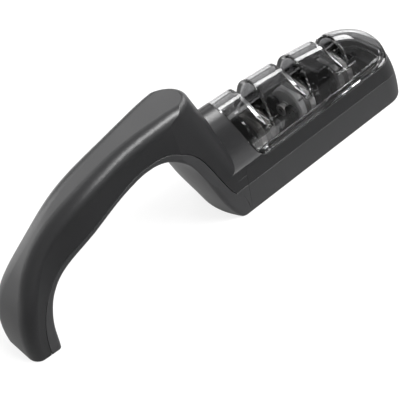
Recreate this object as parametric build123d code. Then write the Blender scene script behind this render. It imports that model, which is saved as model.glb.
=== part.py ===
from build123d import *
import math
import os

# Three-stage knife sharpener: a bench body with a carrying handle, and three pairs of
# ceramic wheels that turn over a water tray under a see-through slotted cover.
# X runs from the handle's foot to the nose, Z is up, and the origin is on the table
# under the middle of the whole length. All sizes are millimetres.

# Whole body
overall_length = 230.0
body_width = 34.0
body_height = 71.4
wall = 2.2
overrun = 5.0
shadow_gap = 0.3
fit_gap = 0.3
shell_bottom = 0.6

# Base block, up from the table and back from the nose
base_length = 117.0
nose_corner_radius = 13.0
nose_lean_low = 2.4
nose_lean_high = 7.0
seam_height = 16.3
seam_nose_drop = 2.4
rim_height = 25.6

# Arched top of the base, on which the cover's humps go on
crest_height = 53.4
arch_skirt = 3.6
arch_step = 0.05

# Column and handle, seen from the side: how far the column's foot runs into the base, and
# how far its round front stands ahead of the base's rear
column_overlap = 14.0
column_front = 13.2
column_lean = 17.8
column_bulge = 13.0
bulge_margin = 0.2
handle_fillet = 5.0
peak_fillet = 2.6
inner_fillet = 2.2
on_curve = 0.05
near_curve = 0.8
curve_steps = 24
front_steps = 4
crown_angles = (0, 30, 60, 85)
edge_shares = (0.1, 0.5, 0.9)

# Half widths of the handle at its foot, at its grip and at the peak
foot_half_width = 11.4
grip_half_width = 6.8
peak_half_width = 9.0

# Lip of the lower shell, which stands up inside the upper one: its foot ends lip_drop under
# the seam, and its start is counted from the base's rear
lip_wall = 1.2
lip_rise = 2.0
lip_drop = 4.0
lip_bottom = 8.0
lip_lead = 8.0

# Cover: its rear seam is counted from the base's rear
cover_wall = 1.8
cover_seam_lead = 19.2
cover_seam_lean = 14.6
cover_seam_radius = 6.0
skirt_bottom = 22.3
skirt_wall = 1.5
rim_foot = 1.5
bulkhead_wall = 2.0

# Knife slots, counted from the handle
stage_names = ("coarse", "medium", "fine")
first_slot_back = 85.6
stage_pitch = 25.4
slot_floor = 33.0
slot_width = 2.0
slot_mouth = 8.6
slot_crests = (52.6, 50.2, 46.8)
slot_wall = 1.5
wheel_room = 0.6

# Wheels and axles
axle_height = 24.8
axle_radius = 1.2
axle_half_length = 8.6
bore_gap = 0.03
wheel_radius = 9.4
wheel_groove_radius = 6.4
wheel_half_gap = 0.25
wheel_groove_half = 1.5
wheel_thickness = 5.2
wheel_edge = 0.8
wheel_hub_radius = 3.0
wheel_hub_end = 5.8
bush_radius = 2.75
bush_length = 2.6
bush_place = 7.4

# Cradle that holds the axles
plate_place = 6.4
plate_wall = 2.0
plate_half_width = 11.4
plate_leg = 3.0
plate_low = 12.4
plate_shoulder = 21.0
ear_half_width = 9.0
ear_top = 29.2
ear_round = 2.2
rail_bottom = 12.4
rail_top = 16.4
rail_wall = 1.8
shelf_bottom = 20.0
shelf_top = 21.6
shelf_half_width = 8.5

# Guards inside the cover, counted from the stage beside them
guard_lead = 10.4
guard_wall = 1.5
guard_half_width = 9.0
guard_top = 39.5
guard_window = 4.5
guard_window_height = 29.0
cap_lead = 9.6
cap_length = 7.0
cap_half_width = 7.3
cap_top = 38.8
cap_wall = 1.4
cap_round = 1.0

# Water tray and the ledge it hangs on: the rear end is counted from the base's rear, the
# front ends from the nose and the sides from the base's sides
tray_rear_lead = 20.0
tray_front_gap = 16.0
tray_side_gap = 3.8
tray_radius = 2.5
tray_wall = 1.5
tray_bottom = 5.8
tray_top = 22.0
flange_wall = 1.6
flange_front_gap = 12.0
flange_side_gap = 2.6
flange_radius = 10.0
ledge_wall = 1.7

# Floor ribs of the lower shell and cross ribs of the handle
rib_wall = 1.2
floor_rib_top = 5.5
floor_rib_lead = 32.0
floor_rib_pitch = 18.0
floor_rib_count = 4
floor_rib_side = 8.0
handle_rib_shares = (0.19, 0.36, 0.49, 0.68)

# Screws, from below, and the bosses they join: the seat under each head, and the height
# at which a lower boss meets an upper post
screw_head_radius = 2.5
screw_head_height = 1.8
screw_head_gap = 0.2
screw_shank_radius = 1.4
screw_hole_gap = 0.15
screw_reach = 5.2
boss_radius = 3.9
post_radius = 3.0
base_screw_seat = 2.8
base_screw_joint = 12.0
rear_screw_lead = 14.0
rear_screw_inset = 6.6
nose_screw_gap = 11.0

# Screws of the handle: share of its span, then the seat and the joint as shares of the height
handle_screw_shares = ((0.5905512, 0.7485876, 0.7824859), (0.4173228, 0.6398305, 0.6751412))

# Rubber pads: the feet are counted from the base's ends and sides, the pad from the
# handle's foot
foot_radius = 3.5
foot_height = 1.6
rear_foot_lead = 28.0
rear_foot_inset = 5.5
front_foot_gap = 24.0
front_foot_inset = 6.5
pad_lead = 4.7
pad_length = 4.6
pad_width = 12.0

# Places worked out from the sizes above
half_width = body_width / 2
nose_x = overall_length / 2
foot_x = -overall_length / 2
base_rear_x = nose_x - base_length
handle_span = overall_length - base_length + column_overlap
column_front_x = base_rear_x + column_front
slot_places = [nose_x - first_slot_back + n * stage_pitch for n in range(len(stage_names))]
stage_places = [x - slot_width / 2 for x in slot_places]
cover_seam_x = base_rear_x + cover_seam_lead
guard_x = stage_places[0] - guard_lead
cap_x = stage_places[1] + cap_lead
tray_start = base_rear_x + tray_rear_lead
tray_end = nose_x - tray_front_gap
tray_half_width = half_width - tray_side_gap
flange_end = nose_x - flange_front_gap
flange_half_width = half_width - flange_side_gap
ledge_top = tray_top - flange_wall
ledge_bottom = ledge_top - ledge_wall
lip_start = base_rear_x + lip_lead
rear_screw_x = base_rear_x + rear_screw_lead
nose_screw_x = nose_x - nose_screw_gap

# Outline of the handle and column from the side: shares of the handle's span from the
# foot, and of the body's height
outer_shares = ((0.005, 0.0), (0.0, 0.11), (0.024, 0.378), (0.106, 0.622), (0.2165, 0.787),
                (0.339, 0.889), (0.512, 0.965), (0.70, 0.994), (1.0, 1.0))
inner_shares = ((0.920, 0.0), (0.885, 0.088), (0.841, 0.256), (0.817, 0.374), (0.790, 0.503),
                (0.761, 0.616), (0.713, 0.698), (0.646, 0.737), (0.567, 0.711), (0.480, 0.655),
                (0.354, 0.557), (0.244, 0.462), (0.169, 0.359), (0.134, 0.244), (0.124, 0.112),
                (0.121, 0.0))

# The same curve in the middle of the width, where the front leg is fuller
middle_shares = ((0.884, 0.0), (0.865, 0.088), (0.8255, 0.256), (0.799, 0.374), (0.773, 0.503),
                 (0.749, 0.616), (0.708, 0.698)) + inner_shares[7:]

# The seam between the two shells, round the arch under the handle, in the same shares
seam_shares = ((0.902, 0.2218), (0.8575, 0.370), (0.830, 0.497), (0.808, 0.588), (0.776, 0.674),
               (0.736, 0.737), (0.695, 0.774), (0.641, 0.785), (0.5835, 0.771), (0.476, 0.701),
               (0.325, 0.592), (0.164, 0.436), (0.109, 0.319), (0.087, 0.229), (0.076, 0.117),
               (0.072, -0.08))

# Crest of the arch's humps, which meet inside the knife slots, and of the nose: shares of
# the base's length from its rear, and of the crest's rise over the rim
hump_shares = ((-0.02, 1.01), (0.262, 0.967), (0.479, 0.893), (0.69, 0.76))
nose_shares = ((0.69, 0.76), (0.79, 0.62), (0.87, 0.43), (0.93, 0.235), (0.975, 0.06))

# Half of the arch's cross section: shares of the half width, and of the crest's rise
arch_shares = ((1.0, 0.065), (0.81, 0.215), (0.638, 0.46), (0.548, 0.64), (0.371, 0.866), (0.0, 1.0))
arch_slope_share = 0.66
arch_wall_share = 0.2
nose_close_share = 1.1

# Handle widths: share of the handle's span, then the half widths at the table, at the
# rim and at the top, as shares of what is left up to the column's half width
width_shares = ((-0.04, 0.0, 0.2, 0.0), (0.11, 0.0, 0.16, 0.0), (0.28, 0.1, 0.12, 0.0),
                (0.49, 0.3, 0.24, 0.08), (0.66, 0.8, 0.55, 0.22), (0.78, 1.05, 1.05, 0.22),
                (0.90, 1.05, 1.05, 0.2157), (1.05, 1.05, 1.05, 0.2157))
width_knots = (0.0, 0.34, 1.0)


def across(x):
    # A plane square to the length, with its own x along Y and its own y along Z
    return Plane(origin=(x, 0, 0), x_dir=(0, 1, 0), z_dir=(1, 0, 0))


def side_solid(face, half=body_width):
    # A face drawn on the side view, made solid through the whole width
    start = Plane(origin=(0, half, 0), x_dir=(1, 0, 0), z_dir=(0, -1, 0))
    return extrude(start * face, 2 * half)


def post(x, y, low, high, radius):
    return extrude(Plane.XY.offset(low) * Pos(x, y) * Circle(radius), high - low)


def block(low, high):
    # A box between two corners
    size = [b - a for a, b in zip(low, high)]
    return Pos(*low) * Box(*size, align=(Align.MIN, Align.MIN, Align.MIN))


def handle_point(share):
    return (foot_x + share[0] * handle_span, shell_bottom + share[1] * (body_height - shell_bottom))


def knotted(points, knots):
    # A spline on given knots, so that a loft through several of them stays light
    return Edge.make_spline(points, parameters=knots)


def moved(curve, gap):
    # The curve shifted to its right-hand side
    steps = [n / curve_steps for n in range(curve_steps + 1)]
    points = []
    for step in steps:
        place = curve @ step
        along = curve % step
        points.append((place.X + gap * along.Y, place.Y - gap * along.X))
    return knotted(points, steps)


def side_curve(shares, inset):
    curve = Spline([handle_point(s) for s in shares])
    return moved(curve, inset)


def closed(curve, *corners):
    # A face between the curve and straight lines back through the corners
    back = Polyline(curve @ 1, *corners, curve @ 0)
    return make_face([curve, *back.edges()])


def handle_outline(inset):
    # The handle and column from the side, with the arch filled in
    outer = side_curve(outer_shares, inset)
    return closed(outer, ((outer @ 1).X, shell_bottom + inset))


def under_arch(inset):
    # The space under the handle, a little narrower in the middle of the width
    slices = []
    curves = (inner_shares, middle_shares, inner_shares)
    for y, shares in zip((-half_width, 0, half_width), curves):
        start = Plane(origin=(0, y, 0), x_dir=(1, 0, 0), z_dir=(0, -1, 0))
        slices.append(start * closed(side_curve(shares, inset)))
    return loft(slices)


def handle_side(inset):
    return side_solid(handle_outline(inset)) - under_arch(inset)


def width_section(x, low, mid, high):
    # One slice of the space between the two side faces
    top = body_height + overrun
    right = knotted([(low, 0), (mid, rim_height), (high, top)], width_knots)
    left = knotted([(-high, top), (-mid, rim_height), (-low, 0)], [1 - k for k in reversed(width_knots)])
    ends = [Edge.make_line(right @ 1, left @ 0), Edge.make_line(left @ 1, right @ 0)]
    return across(x) * make_face([right, left, *ends])


def width_space(inset):
    side = half_width - inset
    grip = grip_half_width - inset
    foot = foot_half_width - inset
    slices = []
    for station, low, mid, high in width_shares:
        x = foot_x + station * handle_span
        widths = (foot + low * (side - foot), grip + mid * (side - grip), grip + high * (side - grip))
        slices.append(width_section(x, *widths))
    return loft(slices)


def front_section(z, inset):
    # The column's round front in plan at one height
    top = body_height + overrun
    share = (z - rim_height) / (body_height - rim_height)
    half = half_width + bulge_margin - inset
    if z > rim_height:
        half -= (half_width - peak_half_width) * (z - rim_height) / (top - rim_height)
    end = column_front_x - column_lean * share - column_bulge
    steps = [n / front_steps for n in range(front_steps + 1)]
    turns = [step * math.pi for step in steps]
    points = [(end + (column_bulge - inset) * math.sin(t), -half * math.cos(t)) for t in turns]
    round_front = knotted(points, steps)
    back = end - overall_length
    straight = Polyline(points[-1], (back, half), (back, -half), points[0])
    return Plane.XY.offset(z) * make_face([round_front, *straight.edges()])


def front_space(inset):
    # Ruled up the column, then rounded over at the peak
    shoulder = body_height - peak_fillet - inset
    levels = (-shell_bottom, rim_height, shoulder)
    column = loft([front_section(z, inset) for z in levels], ruled=True)
    crown = []
    for turn in [math.radians(angle) for angle in crown_angles]:
        height = shoulder + peak_fillet * math.sin(turn)
        crown.append(front_section(height, inset + peak_fillet * (1 - math.cos(turn))))
    return column + loft(crown)


def edges_on(solid, shares):
    # The long edges of both sides that run along one curve of the side view
    curve = Plane.XZ * Spline([handle_point(s) for s in shares])
    kept = []
    for edge in solid.edges():
        places = [edge @ share for share in edge_shares]
        near = [curve.distance_to(Vertex(p.X, 0, p.Z)) < near_curve for p in places]
        if all(near) and abs(places[1].Y) > inner_fillet:
            kept.append(edge)
    return kept


def handle_and_column(inset):
    # The sides are trimmed between the two rounds, because the wide end bulges past them
    body = handle_side(inset) & width_space(inset)
    side = half_width - inset
    low = shell_bottom + inset
    trim = block((foot_x - overrun, -side, low), (foot_x + handle_span, side, body_height))
    if inset:
        return body & front_space(inset) & trim
    body = fillet(edges_on(body, outer_shares), handle_fillet) & trim
    return fillet(edges_on(body, inner_shares), inner_fillet) & front_space(inset)


def plan_section(z, end, inset):
    half = half_width - inset
    radius = nose_corner_radius - inset
    end -= inset
    back = base_rear_x - base_length
    sides = Polyline((end - radius, -half), (back, -half), (back, half), (end - radius, half))
    rounds = RadiusArc((end - radius, -half), (end, radius - half), -radius)
    rounds += Line((end, radius - half), (end, half - radius))
    rounds += RadiusArc((end, half - radius), (end - radius, half), -radius)
    return Plane.XY.offset(z) * make_face(sides + rounds)


def nose_space(inset):
    # The block's plan from below the table to over the crest, leaning in at the nose
    seam_end = seam_height - seam_nose_drop
    levels = ((-shell_bottom, 0.0), (seam_end, nose_lean_low), (rim_height, nose_lean_high))
    low = loft([plan_section(z, nose_x - lean, inset) for z, lean in levels])
    slope = (nose_lean_high - nose_lean_low) / (rim_height - seam_end)
    top = crest_height + overrun
    end = nose_x - nose_lean_high - slope * (top - rim_height) * nose_close_share
    ends = [plan_section(rim_height, nose_x - nose_lean_high, inset), plan_section(top, end, inset)]
    return low + loft(ends, ruled=True)


def base_block(inset):
    # From inside the column's foot to the nose
    start = foot_x + handle_span - handle_fillet
    low = (start, -half_width, shell_bottom + inset)
    return nose_space(inset) & block(low, (nose_x + overrun, half_width, rim_height))


def arch_knots():
    # One set of knots for every section, so that the loft through them stays smooth
    rise = (crest_height - rim_height) / half_width
    half = [(y, z * rise) for y, z in arch_shares]
    points = half + [(-y, z) for y, z in reversed(half[:-1])]
    runs = [math.dist(a, b) for a, b in zip(points, points[1:])]
    return [sum(runs[:n]) / sum(runs) for n in range(len(points))]


def arch_section(x, rise, inset):
    half = half_width - arch_step - inset
    low = rim_height - arch_skirt
    points = [(y * (half_width - arch_step), rim_height + z * rise) for y, z in arch_shares]
    if inset:
        squeeze = 1 - inset / (half_width * arch_slope_share)
        drops = [inset * (arch_wall_share + (1 - arch_wall_share) * share) for _, share in arch_shares]
        points = [(y * squeeze, z - drop) for (y, z), drop in zip(points, drops)]
        points[0] = (half, points[0][1])
    mirrored = [(-y, z) for y, z in reversed(points[:-1])]
    over = knotted(points + mirrored, arch_knots())
    under = Polyline(over @ 1, (-half, low), (half, low), over @ 0)
    return across(x) * make_face([over, *under.edges()])


def arch_slices(shares, inset):
    rise = crest_height - rim_height
    return [arch_section(base_rear_x + s * base_length, r * rise, inset) for s, r in shares]


def arch(inset):
    # Straight from slot to slot, then rounded down to the nose
    humps = loft(arch_slices(hump_shares, inset), ruled=True)
    return (humps + loft(arch_slices(nose_shares, inset))) & nose_space(inset)


def lower_face(gap=0):
    # Side view of everything that belongs to the lower shell
    curve = Spline([handle_point(s) for s in seam_shares])
    if gap:
        curve = moved(curve, gap)
    end = (nose_x + overrun, seam_height - seam_nose_drop + gap)
    bend = (nose_x - nose_corner_radius - overrun, seam_height + gap)
    low = (curve @ 1).Y
    line = Polyline(curve @ 0, bend, end, (nose_x + overrun, low), curve @ 1)
    return make_face(curve + line)


def cover_face(gap):
    # Side view of everything that belongs to the cover
    top = body_height + overrun
    share = (top - rim_height) / (body_height - overrun - rim_height)
    foot = (cover_seam_x + gap, rim_height + gap)
    head = (cover_seam_x + gap - cover_seam_lean * share, top)
    end = nose_x + overrun
    face = make_face(Polyline(foot, (end, rim_height + gap), (end, top), head, foot))
    corner = face.vertices().sort_by(Axis.Z)[:2].sort_by(Axis.X)[0]
    return fillet([corner], cover_seam_radius)


def notch_face(place, crest):
    # One knife slot from the side: an upright right wall and a slanting left one
    spread = (slot_mouth - slot_width) * (overrun + crest - slot_floor) / (crest - slot_floor)
    top = crest + overrun
    left = place - slot_width
    corners = ((place, slot_floor), (place, top), (left - spread, top), (left, slot_floor))
    return make_face(Polyline(*corners, corners[0]))


def lying_cylinder(start, end, radius):
    # A cylinder along X on the wheels' axis
    plane = Plane(origin=(start, 0, axle_height), x_dir=(0, 1, 0), z_dir=(1, 0, 0))
    return extrude(plane * Circle(radius), end - start)


def ring(low, high, outer, inner):
    # A ring that follows the block's plan at the rim, between two insets
    end = nose_x - nose_lean_high
    faces = [plan_section(low, end, inset) for inset in (outer, inner)]
    return extrude(faces[0] - faces[1], high - low)


def cover():
    region = side_solid(cover_face(fit_gap))
    reach = rim_height + fit_gap + rim_foot
    skirt_inset = wall + fit_gap
    inside = arch(cover_wall) - ring(rim_height - arch_skirt, reach, 0, skirt_inset + skirt_wall)
    notches = [notch_face(place, crest) for place, crest in zip(slot_places, slot_crests)]
    for notch in notches:
        inside -= side_solid(offset(notch, slot_wall))
    body = (arch(0) & region) - inside
    for notch in notches:
        body -= side_solid(notch)
    room = wheel_hub_end + wheel_room
    side = wheel_radius + wheel_room
    for place in stage_places:
        # Room for the wheels, which reach up through the slots' floors
        body -= block((place - room, -side, skirt_bottom), (place + room, side, axle_height + side))
    skirt = ring(skirt_bottom, reach, skirt_inset, skirt_inset + skirt_wall)
    start = cover_seam_x + cover_seam_radius
    body += skirt & block((start, -half_width, skirt_bottom), (nose_x, half_width, reach))
    return body


def base_screw_places():
    side = half_width - rear_screw_inset
    return ((rear_screw_x, side), (rear_screw_x, -side), (nose_screw_x, 0))


def handle_screws():
    # Place along the handle, seat of the head and height of the joint
    screws = []
    for station, *heights in handle_screw_shares:
        places = [handle_point((station, height)) for height in heights]
        screws.append((places[0][0], places[0][1], places[1][1]))
    return screws


def screw_list():
    # Place, side, seat of the head and height of the joint, for every screw
    screws = [(x, y, base_screw_seat, base_screw_joint) for x, y in base_screw_places()]
    return screws + [(x, 0, seat, joint) for x, seat, joint in handle_screws()]


def screw(x, y, seat, joint):
    head = post(x, y, seat - screw_head_height, seat, screw_head_radius)
    return head + post(x, y, seat, joint + screw_reach, screw_shank_radius)


def bosses():
    inner_side = handle_side(wall / 2)
    low = base_screw_seat - wall / 2
    solids = [post(x, y, low, base_screw_joint, boss_radius) for x, y in base_screw_places()]
    for x, seat, joint in handle_screws():
        solids.append(post(x, 0, seat - body_width, joint, boss_radius) & inner_side)
    return solids


def posts():
    inner_side = handle_side(wall / 2)
    solids = [post(x, y, base_screw_joint, ledge_top, post_radius) for x, y in base_screw_places()]
    for x, seat, joint in handle_screws():
        solids.append(post(x, 0, joint, body_height, post_radius) & inner_side)
    return solids


def lip_root():
    # The lip's thick foot on the lower shell's inner face
    low = (lip_start, -half_width, lip_bottom)
    high = (nose_x + overrun, half_width, seam_height - lip_drop)
    return block(low, high) - nose_space(wall + fit_gap + lip_wall)


def lip():
    # Reaches up from its foot inside the upper shell's wall
    low = (lip_start, -half_width, seam_height - lip_drop - lip_wall)
    high = (nose_x, half_width, seam_height + lip_rise)
    outer = nose_space(wall + fit_gap) & block(low, high)
    return outer - nose_space(wall + fit_gap + lip_wall)


def floor_ribs():
    low = shell_bottom + wall / 2
    side = half_width - wall / 2
    first = base_rear_x + floor_rib_lead
    starts = [first + n * floor_rib_pitch for n in range(floor_rib_count)]
    solids = [block((x, -side, low), (x + rib_wall, side, floor_rib_top)) for x in starts]
    for y in (-floor_rib_side, floor_rib_side):
        near, far = y - rib_wall / 2, y + rib_wall / 2
        solids.append(block((first, near, low), (starts[-1], far, floor_rib_top)))
    return solids


def foot_spots():
    rear = (base_rear_x + rear_foot_lead, half_width - rear_foot_inset)
    front = (nose_x - front_foot_gap, half_width - front_foot_inset)
    return [(x, side * y) for x, y in (rear, front) for side in (-1, 1)]


def pad_block(gap):
    middle = foot_x + pad_lead
    half = pad_length / 2 + gap
    side = pad_width / 2 + gap
    return block((middle - half, -side, -gap), (middle + half, side, foot_height))


def lower_shell(outer, cavity):
    hollow = cavity
    for solid in floor_ribs() + bosses() + [lip_root()]:
        hollow -= solid
    body = (outer & side_solid(lower_face())) - hollow
    body += lip()
    for x, y, seat, joint in screw_list():
        body -= post(x, y, seat - body_width, seat, screw_head_radius + screw_head_gap)
        body -= post(x, y, seat, joint, screw_shank_radius + screw_hole_gap)
    for x, y in foot_spots():
        body -= post(x, y, -foot_height, foot_height, foot_radius + fit_gap)
    return body


def ledge():
    # The shelf round the tray, with the plate behind it that the rear posts hang from
    rear = rear_screw_x - boss_radius
    plate = block((rear, -half_width, ledge_bottom), (nose_x, half_width, ledge_top))
    return plate - tray_plan(ledge_bottom, ledge_top, fit_gap)


def bulkhead():
    # The tilted wall behind the cover's rear edge
    top = body_height
    share = (top - rim_height) / (body_height - overrun - rim_height)
    lean = cover_seam_lean * share
    foot = cover_seam_x
    front = ((foot, ledge_bottom), (foot, rim_height), (foot - lean, top))
    back = [(x - bulkhead_wall, z) for x, z in reversed(front)]
    return side_solid(make_face(Polyline(*front, *back, front[0])))


def handle_ribs():
    starts = [foot_x + share * handle_span for share in handle_rib_shares]
    return [block((x, -half_width, 0), (x + rib_wall, half_width, body_height)) for x in starts]


def upper_shell(outer, cavity):
    hollow = cavity
    for solid in handle_ribs() + posts() + [bulkhead(), ledge()]:
        hollow -= solid
    lower_side = side_solid(lower_face(shadow_gap))
    body = (outer - side_solid(cover_face(0)) - lower_side) - hollow
    for x, y, seat, joint in screw_list():
        body -= post(x, y, joint, joint + screw_reach, screw_shank_radius)
    return body - pad_block(fit_gap)


def tray_plan(low, high, gap):
    length = tray_end - tray_start + 2 * gap
    width = 2 * (tray_half_width + gap)
    middle = (tray_start + tray_end) / 2
    face = RectangleRounded(length, width, tray_radius + gap)
    return extrude(Plane.XY.offset(low) * Pos(middle, 0) * face, high - low)


def water_tray():
    tub = tray_plan(tray_bottom, tray_top, 0)
    length = flange_end - tray_start
    flat = Rectangle(length, 2 * flange_half_width)
    corners = flat.vertices()
    flat = fillet(corners.sort_by(Axis.X)[2:], flange_radius)
    flat = fillet(flat.vertices().sort_by(Axis.X)[:2], tray_radius)
    flange = extrude(Plane.XY.offset(ledge_top) * Pos(tray_start + length / 2, 0) * flat, flange_wall)
    return tub + flange - tray_plan(tray_bottom + tray_wall, tray_top, -tray_wall)


def cradle_plate(start):
    low = tray_bottom + tray_wall
    inner = plate_half_width - plate_leg
    half = [(0, plate_low), (inner, plate_low), (inner, low), (plate_half_width, low),
            (plate_half_width, plate_shoulder), (ear_half_width, plate_shoulder),
            (ear_half_width, ear_top), (0, ear_top)]
    mirrored = [(-y, z) for y, z in reversed(half)]
    face = make_face(Polyline(*half, *mirrored[1:]))
    notch = Pos(0, axle_height) * Circle(bush_radius)
    notch += Pos(0, axle_height + overrun) * Rectangle(2 * bush_radius, 2 * overrun)
    face -= notch
    ears = [v for v in face.vertices() if abs(v.Y - ear_top) < on_curve]
    face = fillet(ears, ear_round)
    return extrude(across(start) * face, plate_wall)


def wheel_cradle():
    starts = [x + side for x in stage_places for side in (-plate_place - plate_wall, plate_place)]
    body = cradle_plate(starts[0])
    for start in starts[1:]:
        body += cradle_plate(start)
    far = starts[-1] + plate_wall
    for near in (plate_half_width - rail_wall, -plate_half_width):
        body += block((starts[0], near, rail_bottom), (far, near + rail_wall, rail_top))
    # The shelf under the cap joins the plates of the last two stages
    shelf_end = starts[4] + plate_wall
    low = (starts[3], -shelf_half_width, shelf_bottom)
    return body + block(low, (shelf_end, shelf_half_width, shelf_top))


def coarse_guard():
    high = guard_top - guard_half_width
    face = Pos(0, (tray_top + high) / 2) * Rectangle(2 * guard_half_width, high - tray_top)
    face += Pos(0, high) * Circle(guard_half_width)
    face &= Pos(0, tray_top + body_height / 2) * Rectangle(body_width, body_height)
    face -= Pos(0, guard_window_height) * Circle(guard_window)
    return extrude(across(guard_x) * face, guard_wall)


def fine_stage_cap():
    low = (cap_x, -cap_half_width, shelf_top)
    high = (cap_x + cap_length, cap_half_width, cap_top)
    body = block(low, high)
    body = fillet(body.edges().group_by(Axis.Z)[-1], cap_round)
    inner_low = (low[0] + cap_wall, low[1] + cap_wall, low[2] - overrun)
    inner_high = (high[0] - cap_wall, high[1] - cap_wall, high[2] - cap_wall)
    return body - block(inner_low, inner_high)


def wheel(place, side):
    profile = [(wheel_half_gap, axle_radius), (wheel_half_gap, wheel_groove_radius),
               (wheel_groove_half, wheel_radius), (wheel_thickness - wheel_edge, wheel_radius),
               (wheel_thickness, wheel_radius - wheel_edge), (wheel_thickness, wheel_hub_radius),
               (wheel_hub_end, wheel_hub_radius), (wheel_hub_end, axle_radius)]
    points = [(place + side * x, 0, axle_height + r) for x, r in profile]
    face = make_face(Polyline(*points, points[0]))
    return revolve(face, Axis((place, 0, axle_height), (1, 0, 0)), 360)


def axle(place):
    return lying_cylinder(place - axle_half_length, place + axle_half_length, axle_radius)


def bushes(place):
    solids = []
    for side in (-1, 1):
        start = place + side * bush_place - bush_length / 2
        outer = lying_cylinder(start, start + bush_length, bush_radius)
        solids.append(outer - lying_cylinder(start, start + bush_length, axle_radius + bore_gap))
    return solids


def write(name, solids):
    for solid in solids:
        solid.label = name
    shape = solids[0] if len(solids) == 1 else Compound(children=list(solids))
    shape.label = name
    export_step(shape, "parts/" + name + ".step")


def build():
    outer = handle_and_column(0) + base_block(0) + arch(0)
    cavity = handle_and_column(wall) + base_block(wall) + arch(wall)
    write("lower_shell", [lower_shell(outer, cavity)])
    write("upper_shell", [upper_shell(outer, cavity)])
    write("cover", [cover()])
    write("water_tray", [water_tray()])
    write("wheel_cradle", [wheel_cradle()])
    write("coarse_guard", [coarse_guard()])
    write("fine_stage_cap", [fine_stage_cap()])
    for name, place in zip(stage_names, stage_places):
        write(name + "_left_wheel", [wheel(place, -1)])
        write(name + "_right_wheel", [wheel(place, 1)])
        write(name + "_axle", [axle(place)])
        write(name + "_bushes", bushes(place))
    write("shell_screws", [screw(*place) for place in screw_list()])
    write("base_feet", [post(x, y, 0, foot_height, foot_radius) for x, y in foot_spots()])
    write("handle_foot_pad", [pad_block(0)])


os.makedirs("parts", exist_ok=True)
build()
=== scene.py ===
import math
import bpy
from mathutils import Matrix, Vector


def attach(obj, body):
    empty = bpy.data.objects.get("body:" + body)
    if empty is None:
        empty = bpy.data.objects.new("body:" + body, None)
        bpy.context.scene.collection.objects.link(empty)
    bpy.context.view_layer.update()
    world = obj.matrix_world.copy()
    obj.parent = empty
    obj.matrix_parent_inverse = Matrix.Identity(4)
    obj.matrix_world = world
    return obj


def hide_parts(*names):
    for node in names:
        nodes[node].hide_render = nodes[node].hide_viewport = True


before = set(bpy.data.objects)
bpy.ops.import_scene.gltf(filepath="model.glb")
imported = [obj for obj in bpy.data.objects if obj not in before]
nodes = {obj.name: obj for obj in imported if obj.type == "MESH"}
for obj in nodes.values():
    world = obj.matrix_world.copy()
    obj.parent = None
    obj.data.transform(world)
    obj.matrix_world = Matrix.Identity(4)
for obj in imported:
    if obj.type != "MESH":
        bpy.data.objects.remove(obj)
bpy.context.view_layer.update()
print("frame loaded:", len(nodes), "nodes")

mm = 0.001  # patterns and shapes below are given in millimetres
bevelSamples = 6  # rays that round an edge in the plastics
white = (1, 1, 1, 1)


def toLinear(hexColor):
    # sRGB hex, as a colour picker shows it, to the linear value that a shader wants
    channels = [int(hexColor[i:i + 2], 16) / 255 for i in (1, 3, 5)]
    return [c / 12.92 if c <= 0.04045 else ((c + 0.055) / 1.055) ** 2.4 for c in channels] + [1.0]


def addNode(tree, kind, settings=None, values=None, links=None):
    node = tree.nodes.new(kind)
    for name, value in (settings or {}).items():
        setattr(node, name, value)
    for name, value in (values or {}).items():
        node.inputs[name].default_value = value
    for name, source in (links or {}).items():
        tree.links.new(source, node.inputs[name])
    return node


def newMaterial(name):
    material = bpy.data.materials.new(name)
    material.use_nodes = True
    material.node_tree.nodes.clear()
    return material, material.node_tree


def addPiece(name, mesh):
    piece = bpy.data.objects.new(name, mesh)
    bpy.context.scene.collection.objects.link(piece)
    return piece


def dress(names, material):
    # Every slot of each CAD node gets the material
    for name in names:
        slots = nodes[name].material_slots
        if not len(slots):
            nodes[name].data.materials.append(material)
        for slot in slots:
            slot.material = material


# Moulded plastics
# roughness and specular start from the usual values and are matched to the photo
upperShell = {
    "dark": "#19191a", "light": "#202021", "grainMm": 0.6, "driftMm": 35, "roughness": 0.37,
    "roughnessDrift": 0.03, "grainStrength": 0.02, "edgeMm": 0.4, "ior": 1.53, "specular": 0.42}
lowerShell = {
    "dark": "#262627", "light": "#2d2d2e", "grainMm": 0.6, "driftMm": 35, "roughness": 0.4,
    "roughnessDrift": 0.03, "grainStrength": 0.03, "edgeMm": 0.5, "ior": 1.53, "specular": 0.5}
innerParts = {
    "dark": "#101011", "light": "#19191a", "grainMm": 0.5, "driftMm": 12, "roughness": 0.28,
    "roughnessDrift": 0.05, "grainStrength": 0.05, "edgeMm": 0.3, "ior": 1.5, "specular": 0.5}
glossyGuards = {
    "dark": "#0d0d0e", "light": "#151516", "grainMm": 0.5, "driftMm": 9, "roughness": 0.14,
    "roughnessDrift": 0.03, "grainStrength": 0.03, "edgeMm": 0.35, "ior": 1.53, "specular": 0.6}
bushRings = {
    "dark": "#a9a9a7", "light": "#bababa", "grainMm": 0.3, "driftMm": 3, "roughness": 0.38,
    "roughnessDrift": 0.05, "grainStrength": 0.04, "edgeMm": 0.2, "ior": 1.48, "specular": 0.5}
mouldGrain = {"Detail": 3.0, "Roughness": 0.6}
mouldDrift = {"Detail": 2.0, "Roughness": 0.5}
driftSpread = {"From Min": 0.3, "From Max": 0.7}
grainDepth = 0.2  # height of the moulded grain, as a share of its width


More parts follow.
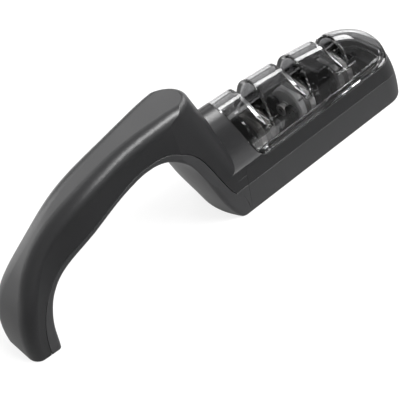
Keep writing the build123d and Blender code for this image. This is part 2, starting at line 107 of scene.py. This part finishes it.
def mouldedPlastic(name, look):
    # Injection-moulded and spark-eroded plastic: a fine even grain that softens highlights,
    # with slow shifts in gloss where the tool was polished less. The real grain is finer than
    # a pixel, so it is drawn as coarse as it needs to show
    material, tree = newMaterial(name)
    place = addNode(tree, "ShaderNodeTexCoord").outputs["Object"]
    grain = addNode(
        tree, "ShaderNodeTexNoise",
        values={"Scale": 1 / (look["grainMm"] * mm), **mouldGrain}, links={"Vector": place})
    drift = addNode(
        tree, "ShaderNodeTexNoise",
        values={"Scale": 1 / (look["driftMm"] * mm), **mouldDrift}, links={"Vector": place})
    low = look["roughness"] - look["roughnessDrift"]
    high = look["roughness"] + look["roughnessDrift"]
    rough = addNode(
        tree, "ShaderNodeMapRange", values={**driftSpread, "To Min": low, "To Max": high},
        links={"Value": drift.outputs["Fac"]})
    tint = addNode(
        tree, "ShaderNodeMix", settings={"data_type": "RGBA"},
        values={"A": toLinear(look["dark"]), "B": toLinear(look["light"])},
        links={"Factor": grain.outputs["Fac"]})
    softEdge = addNode(
        tree, "ShaderNodeBevel", settings={"samples": bevelSamples},
        values={"Radius": look["edgeMm"] * mm})
    bump = addNode(
        tree, "ShaderNodeBump",
        values={"Strength": look["grainStrength"], "Distance": look["grainMm"] * mm * grainDepth},
        links={"Height": grain.outputs["Fac"], "Normal": softEdge.outputs["Normal"]})
    shader = addNode(
        tree, "ShaderNodeBsdfPrincipled",
        values={"IOR": look["ior"], "Specular IOR Level": look["specular"]},
        links={"Base Color": tint.outputs["Result"], "Roughness": rough.outputs["Result"],
               "Normal": bump.outputs["Normal"]})
    addNode(tree, "ShaderNodeOutputMaterial", links={"Surface": shader.outputs["BSDF"]})
    return material


plastics = (
    ("mouldedAbsUpper", upperShell, ["upper_shell"]),  # satin black
    ("mouldedAbsLower", lowerShell, ["lower_shell"]),  # the same in charcoal
    ("mouldedNylonInner", innerParts, ["wheel_cradle", "water_tray"]),  # dark, slightly glossy
    ("polishedAbsGuards", glossyGuards, ["coarse_guard", "fine_stage_cap"]),  # piano black
    ("mouldedAcetalBushes", bushRings, ["coarse_bushes", "medium_bushes", "fine_bushes"]))  # grey
for name, look, names in plastics:
    dress(names, mouldedPlastic(name, look))
print("moulded plastics done")


# Foot of the column
# The column's rounded front leaves a shallow pocket in each side, behind the base's straight
# wall. These pieces carry the wall on over it, one for each shell, with the seam between them
footFill = {
    "half": 16.99, "depth": 4.0,
    "upper": ((7.3, 16.6), (7.3, 22.2), (-0.5, 22.2), (1.7, 16.6)),
    "lower": ((7.3, 0.8), (7.3, 16.3), (1.8, 16.3), (5.4, 7.0), (6.3, 0.8))}


def footPiece(name, corners, side, look, material):
    # A flat wall piece from its corners in side view
    outer, inner = side * look["half"], side * (look["half"] - look["depth"])
    points = [(x * mm, y * mm, z * mm) for y in (outer, inner) for x, z in corners]
    count = len(corners)
    faces = [tuple(range(count)), tuple(range(2 * count - 1, count - 1, -1))]
    faces += [(n, n + count, (n + 1) % count + count, (n + 1) % count) for n in range(count)]
    mesh = bpy.data.meshes.new(name)
    mesh.from_pydata(points, [], faces if side > 0 else [face[::-1] for face in faces])
    mesh.materials.append(material)
    piece = addPiece(name, mesh)
    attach(piece, "housing")


for side, word in ((1, "Far"), (-1, "Near")):
    for half in ("upper", "lower"):
        plastic = nodes[half + "_shell"].data.materials[0]
        name = "columnFoot" + half.capitalize() + word
        footPiece(name, footFill[half], side, footFill, plastic)
print("column foot done")


# Grip
# The photo's grip is a little broader and flatter than the solids'. The shells are drawn
# again with that correction, in turns round a point under the arch of the handle. Each row:
# angle in degrees, inner and outer radius there, how much broader each side gets, and how
# much the inner face comes in
gripFit = {"centre": (-45.0, 0.0), "half": 8.0, "flatten": 1.3, "rows": (
    (60, 52.1, 82.2, 0.0, 0.0),
    (70, 54.4, 75.7, 0.0, 0.8),
    (80, 53.5, 71.8, 0.8, 1.6),
    (90, 50.3, 69.6, 1.5, 1.2),
    (100, 48.0, 68.7, 2.1, 0.4),
    (110, 46.9, 68.8, 2.4, 0.0),
    (120, 47.0, 69.7, 2.6, 0.0),
    (130, 48.6, 70.9, 2.6, 0.1),
    (140, 51.5, 71.9, 2.4, 0.5),
    (150, 54.7, 72.4, 2.0, 1.2),
    (160, 55.9, 72.2, 1.5, 1.2),
    (170, 55.0, 71.0, 1.2, 0.4),
    (180, 54.6, 69.4, 1.0, 0.0))}


def gripRow(angle, rows):
    # The table's values between its rows, or None off its ends
    for low, high in zip(rows, rows[1:]):
        if low[0] <= angle <= high[0]:
            part = (angle - low[0]) / (high[0] - low[0])
            return [a + (b - a) * part for a, b in zip(low[1:], high[1:])]
    return None


def fittedShell(name, look):
    node = nodes[name]
    mesh = node.data.copy()
    mesh.transform(node.matrix_world)
    middle, level = look["centre"]
    for vertex in mesh.vertices:
        across, up = vertex.co.x / mm - middle, vertex.co.z / mm - level
        row = gripRow(math.degrees(math.atan2(up, across)), look["rows"])
        if row:
            inner, outer, widen, thicken = row
            radius = math.hypot(across, up)
            share = min(max((radius - inner) / (outer - inner), 0), 1)
            shrink = 1 - (look["flatten"] * widen * share + thicken * (1 - share)) / radius
            vertex.co.x = (middle + across * shrink) * mm
            vertex.co.z = (level + up * shrink) * mm
            vertex.co.y *= 1 + widen / look["half"]
    shell = addPiece(name + "_fitted", mesh)
    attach(shell, "housing")
    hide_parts(name)


fittedShell("upper_shell", gripFit)
fittedShell("lower_shell", gripFit)
print("grip done")


# Smoke-clear cover
cover = {
    "tint": "#c0c0c1", "roughness": 0.035, "ior": 1.5, "edgeMm": 0.5,
    "flowMm": 22, "flowDetail": 1.0, "flowDepthMm": 0.4, "flowStrength": 0.05}


def clearCover(look):
    # SAN moulded in polished tools: sharp reflections, a grey tint that deepens through each
    # wall, rounded rims that catch the light and a very slight flow ripple
    material, tree = newMaterial("mouldedSanSmoke")
    place = addNode(tree, "ShaderNodeTexCoord").outputs["Object"]
    flow = addNode(
        tree, "ShaderNodeTexNoise",
        values={"Scale": 1 / (look["flowMm"] * mm), "Detail": look["flowDetail"]},
        links={"Vector": place})
    softEdge = addNode(
        tree, "ShaderNodeBevel", settings={"samples": bevelSamples},
        values={"Radius": look["edgeMm"] * mm})
    bump = addNode(
        tree, "ShaderNodeBump",
        values={"Strength": look["flowStrength"], "Distance": look["flowDepthMm"] * mm},
        links={"Height": flow.outputs["Fac"], "Normal": softEdge.outputs["Normal"]})
    shader = addNode(
        tree, "ShaderNodeBsdfPrincipled",
        values={"Base Color": toLinear(look["tint"]), "Roughness": look["roughness"],
                "IOR": look["ior"], "Transmission Weight": 1.0},
        links={"Normal": bump.outputs["Normal"]})
    addNode(tree, "ShaderNodeOutputMaterial", links={"Surface": shader.outputs["BSDF"]})
    return material


dress(["cover"], clearCover(cover))
print("cover done")


# Ceramic wheels
coarseWheels = {
    "base": "#5d5b58", "grain": "#8c8984", "gritMm": 0.45, "roughness": 0.8, "bump": 0.35}
mediumWheels = {
    "base": "#b6b6b5", "grain": "#cfcfcd", "gritMm": 0.3, "roughness": 0.7, "bump": 0.2}
fineWheels = {
    "base": "#868685", "grain": "#9c9c9a", "gritMm": 0.2, "roughness": 0.55, "bump": 0.1}
ceramicIor = 1.6
cloudSize = 6  # how much wider the soft mottling is than the grit
cloudDetail = 4.0


def sinteredCeramic(name, look):
    # Alumina pressed and sintered with grit: a matt speckle, rougher on the coarse pair. The
    # real grit is finer than a pixel, so it is drawn as coarse as it needs to show
    material, tree = newMaterial(name)
    place = addNode(tree, "ShaderNodeTexCoord").outputs["Object"]
    grit = addNode(
        tree, "ShaderNodeTexVoronoi", values={"Scale": 1 / (look["gritMm"] * mm)},
        links={"Vector": place})
    cloud = addNode(
        tree, "ShaderNodeTexNoise",
        values={"Scale": 1 / (look["gritMm"] * cloudSize * mm), "Detail": cloudDetail},
        links={"Vector": place})
    blend = addNode(
        tree, "ShaderNodeMath", settings={"operation": "MULTIPLY"},
        links={0: grit.outputs["Distance"], 1: cloud.outputs["Fac"]})
    tint = addNode(
        tree, "ShaderNodeMix", settings={"data_type": "RGBA"},
        values={"A": toLinear(look["base"]), "B": toLinear(look["grain"])},
        links={"Factor": blend.outputs["Value"]})
    bump = addNode(
        tree, "ShaderNodeBump", values={"Strength": look["bump"], "Distance": look["gritMm"] * mm},
        links={"Height": grit.outputs["Distance"]})
    shader = addNode(
        tree, "ShaderNodeBsdfPrincipled", values={"Roughness": look["roughness"], "IOR": ceramicIor},
        links={"Base Color": tint.outputs["Result"], "Normal": bump.outputs["Normal"]})
    addNode(tree, "ShaderNodeOutputMaterial", links={"Surface": shader.outputs["BSDF"]})
    return material


for stage, look in (("coarse", coarseWheels), ("medium", mediumWheels), ("fine", fineWheels)):
    pair = [stage + "_left_wheel", stage + "_right_wheel"]
    dress(pair, sinteredCeramic("sinteredAlumina" + stage.capitalize(), look))
print("wheels done")


# Metal
axleSteel = {"color": "#b9bbbd", "roughness": 0.22, "spotMm": 0.12, "bump": 0.05}
screwSteel = {"color": "#3a3a3c", "roughness": 0.4, "spotMm": 0.3, "bump": 0.08}
spotDetail = 2.0
spotRoughness = (0.8, 1.2)  # from the smoothest spots to the dullest, as shares of the roughness


def finishedSteel(name, look):
    # Stainless rod ground to size, or screws plated in black zinc: a tight metal gleam,
    # broken up by small duller spots
    material, tree = newMaterial(name)
    place = addNode(tree, "ShaderNodeTexCoord").outputs["Object"]
    spots = addNode(
        tree, "ShaderNodeTexNoise",
        values={"Scale": 1 / (look["spotMm"] * mm), "Detail": spotDetail}, links={"Vector": place})
    low, high = [look["roughness"] * share for share in spotRoughness]
    rough = addNode(
        tree, "ShaderNodeMapRange", values={"To Min": low, "To Max": high},
        links={"Value": spots.outputs["Fac"]})
    bump = addNode(
        tree, "ShaderNodeBump", values={"Strength": look["bump"], "Distance": look["spotMm"] * mm},
        links={"Height": spots.outputs["Fac"]})
    shader = addNode(
        tree, "ShaderNodeBsdfPrincipled",
        values={"Base Color": toLinear(look["color"]), "Metallic": 1.0},
        links={"Roughness": rough.outputs["Result"], "Normal": bump.outputs["Normal"]})
    addNode(tree, "ShaderNodeOutputMaterial", links={"Surface": shader.outputs["BSDF"]})
    return material


dress(["coarse_axle", "medium_axle", "fine_axle"], finishedSteel("groundStainlessAxles", axleSteel))
dress(["shell_screws"], finishedSteel("blackZincScrews", screwSteel))
print("metal done")


# Rubber
pads = {
    "dark": "#131313", "light": "#1d1d1d", "grainMm": 0.5, "grainDetail": 4.0, "grainDepth": 0.4,
    "roughness": 0.85, "bump": 0.25, "ior": 1.52}


def mouldedRubber(look):
    # Soft moulded rubber: matt, with a dusty grain that never mirrors
    material, tree = newMaterial("mouldedRubberPads")
    place = addNode(tree, "ShaderNodeTexCoord").outputs["Object"]
    grain = addNode(
        tree, "ShaderNodeTexNoise",
        values={"Scale": 1 / (look["grainMm"] * mm), "Detail": look["grainDetail"]},
        links={"Vector": place})
    tint = addNode(
        tree, "ShaderNodeMix", settings={"data_type": "RGBA"},
        values={"A": toLinear(look["dark"]), "B": toLinear(look["light"])},
        links={"Factor": grain.outputs["Fac"]})
    depth = look["grainMm"] * mm * look["grainDepth"]
    bump = addNode(
        tree, "ShaderNodeBump", values={"Strength": look["bump"], "Distance": depth},
        links={"Height": grain.outputs["Fac"]})
    shader = addNode(
        tree, "ShaderNodeBsdfPrincipled",
        values={"Roughness": look["roughness"], "IOR": look["ior"]},
        links={"Base Color": tint.outputs["Result"], "Normal": bump.outputs["Normal"]})
    addNode(tree, "ShaderNodeOutputMaterial", links={"Surface": shader.outputs["BSDF"]})
    return material


dress(["base_feet", "handle_foot_pad"], mouldedRubber(pads))
print("rubber done")


# Floor and background
# mirrorFront and mirrorBack set a painted reflection: how brightly the floor glows where the part
# mirrors it, from the camera's side of the part to the far side, brighter than any lit white behind.
# fadeStart and fadeEnd are where that change lies
room = {
    "size": 6.0, "floor": "#f4f4f4", "cameraWhite": 0.8, "worldLight": 0.4,
    "mirrorFront": 0.12, "mirrorBack": 2.0, "fadeStart": -0.05, "fadeEnd": 0.2}


def paleFloor(look):
    # Matt painted board: white to the camera, with the soft contact shadow left in. In what the part
    # mirrors, the board is swapped for a glow, a painted reflection that is dim in front and bright
    # behind
    material, tree = newMaterial("paintedBoardFloor")
    board = addNode(tree, "ShaderNodeBsdfDiffuse", values={"Color": toLinear(look["floor"])})
    backdrop = addNode(tree, "ShaderNodeEmission", values={"Color": white, "Strength": 1.0})
    rays = addNode(tree, "ShaderNodeLightPath")
    share = addNode(
        tree, "ShaderNodeMath", settings={"operation": "MULTIPLY"},
        values={1: look["cameraWhite"]}, links={0: rays.outputs["Is Camera Ray"]})
    # painted reflection: for mirrored rays the floor glows, weaker in front of the part and stronger
    # behind it
    position = addNode(tree, "ShaderNodeNewGeometry").outputs["Position"]
    spot = addNode(tree, "ShaderNodeSeparateXYZ", links={0: position})
    reflectionGlowLevel = addNode(
        tree, "ShaderNodeMapRange",
        values={"From Min": look["fadeStart"], "From Max": look["fadeEnd"],
                "To Min": look["mirrorFront"], "To Max": look["mirrorBack"]},
        links={"Value": spot.outputs["Y"]})
    paintedReflectionGlow = addNode(
        tree, "ShaderNodeEmission", values={"Color": white},
        links={"Strength": reflectionGlowLevel.outputs["Result"]})
    plain = addNode(
        tree, "ShaderNodeMixShader",
        links={0: rays.outputs["Is Glossy Ray"], 1: board.outputs["BSDF"],
               2: paintedReflectionGlow.outputs["Emission"]})
    seen = addNode(
        tree, "ShaderNodeMixShader",
        links={0: share.outputs["Value"], 1: plain.outputs["Shader"],
               2: backdrop.outputs["Emission"]})
    addNode(tree, "ShaderNodeOutputMaterial", links={"Surface": seen.outputs["Shader"]})
    mesh = bpy.data.meshes.new("floor")
    half = look["size"] / 2
    corners = [(-half, -half, 0), (half, -half, 0), (half, half, 0), (-half, half, 0)]
    mesh.from_pydata(corners, [], [(0, 1, 2, 3)])
    mesh.materials.append(material)
    floor = addPiece("floor", mesh)


def whiteWorld(look):
    # White behind everything that the camera sees; a plainer level lights the part
    world = bpy.data.worlds.new("studio")
    bpy.context.scene.world = world
    world.use_nodes = True
    tree = world.node_tree
    tree.nodes.clear()
    rays = addNode(tree, "ShaderNodeLightPath")
    strength = addNode(
        tree, "ShaderNodeMapRange", values={"To Min": look["worldLight"], "To Max": 1.0},
        links={"Value": rays.outputs["Is Camera Ray"]})
    sky = addNode(
        tree, "ShaderNodeBackground", values={"Color": white},
        links={"Strength": strength.outputs["Result"]})
    addNode(tree, "ShaderNodeOutputWorld", links={"Surface": sky.outputs["Background"]})


paleFloor(room)
whiteWorld(room)
print("room done")


# Lamps
# way is where the lamp stands, along is the way that its long side runs, in the part's frame
lampReach = 0.9  # metres from the middle of the part
lamps = {
    "topBox": {
        "way": (0.1, 0.66, 0.74), "along": (1, 0, 0), "size": (0.8, 0.4), "radiance": 3.0},
    "tailBox": {
        "way": (-0.55, 0.8, 0.4), "along": (1, 0.5, 0), "size": (0.6, 0.6), "radiance": 4.0},
    "crownStrip": {
        "way": (0.6, -0.2, 0.77), "along": (1, 0.35, 0), "size": (0.5, 0.2), "radiance": 12.0},
    "edgeStrip": {
        "way": (0.25, -0.5, 0.83), "along": (1, 0.2, 0), "size": (0.45, 0.3), "radiance": 28.0},
    "peakBox": {
        "way": (0.88, 0.1, 0.45), "along": (0, 1, 0), "size": (0.3, 0.25), "radiance": 8.0},
    "frontStrip": {
        "way": (0.33, -0.82, 0.28), "along": (1, 0.3, 0), "size": (0.35, 0.22), "radiance": 2.0}}


def softLamp(name, look):
    light = bpy.data.lights.new(name, "AREA")
    light.shape = "RECTANGLE"
    light.size, light.size_y = look["size"]
    light.energy = look["radiance"] * math.pi * light.size * light.size_y  # watts
    lamp = addPiece(name, light)
    way = Vector(look["way"]).normalized()
    side = way.cross(Vector(look["along"])).normalized()
    turn = Matrix((side.cross(way), side, way)).transposed()
    lamp.matrix_world = Matrix.Translation(way * lampReach) @ turn.to_4x4()


for name, look in lamps.items():
    softLamp(name, look)
print("lamps done")


# Camera
shot = {
    "place": (-0.21679, -0.30860, 0.35570), "right": (0.73072, -0.66527, -0.15327),
    "up": (0.54664, 0.43566, 0.71511), "back": (-0.40897, -0.60632, 0.68200),
    "focalPixels": 1130, "width": 400, "sensorMm": 36, "nearest": 0.01}


def photoCamera(look):
    # The focal length in pixels, turned to the lens that gives it on the sensor
    data = bpy.data.cameras.new("photoCamera")
    data.sensor_width = look["sensorMm"]
    data.lens = look["focalPixels"] / look["width"] * data.sensor_width
    data.clip_start = look["nearest"]
    camera = addPiece("photoCamera", data)
    turn = Matrix((look["right"], look["up"], look["back"])).transposed()
    camera.matrix_world = Matrix.Translation(look["place"]) @ turn.to_4x4()
    bpy.context.scene.camera = camera


photoCamera(shot)
bpy.context.scene.view_settings.view_transform = "Standard"
print("camera done")
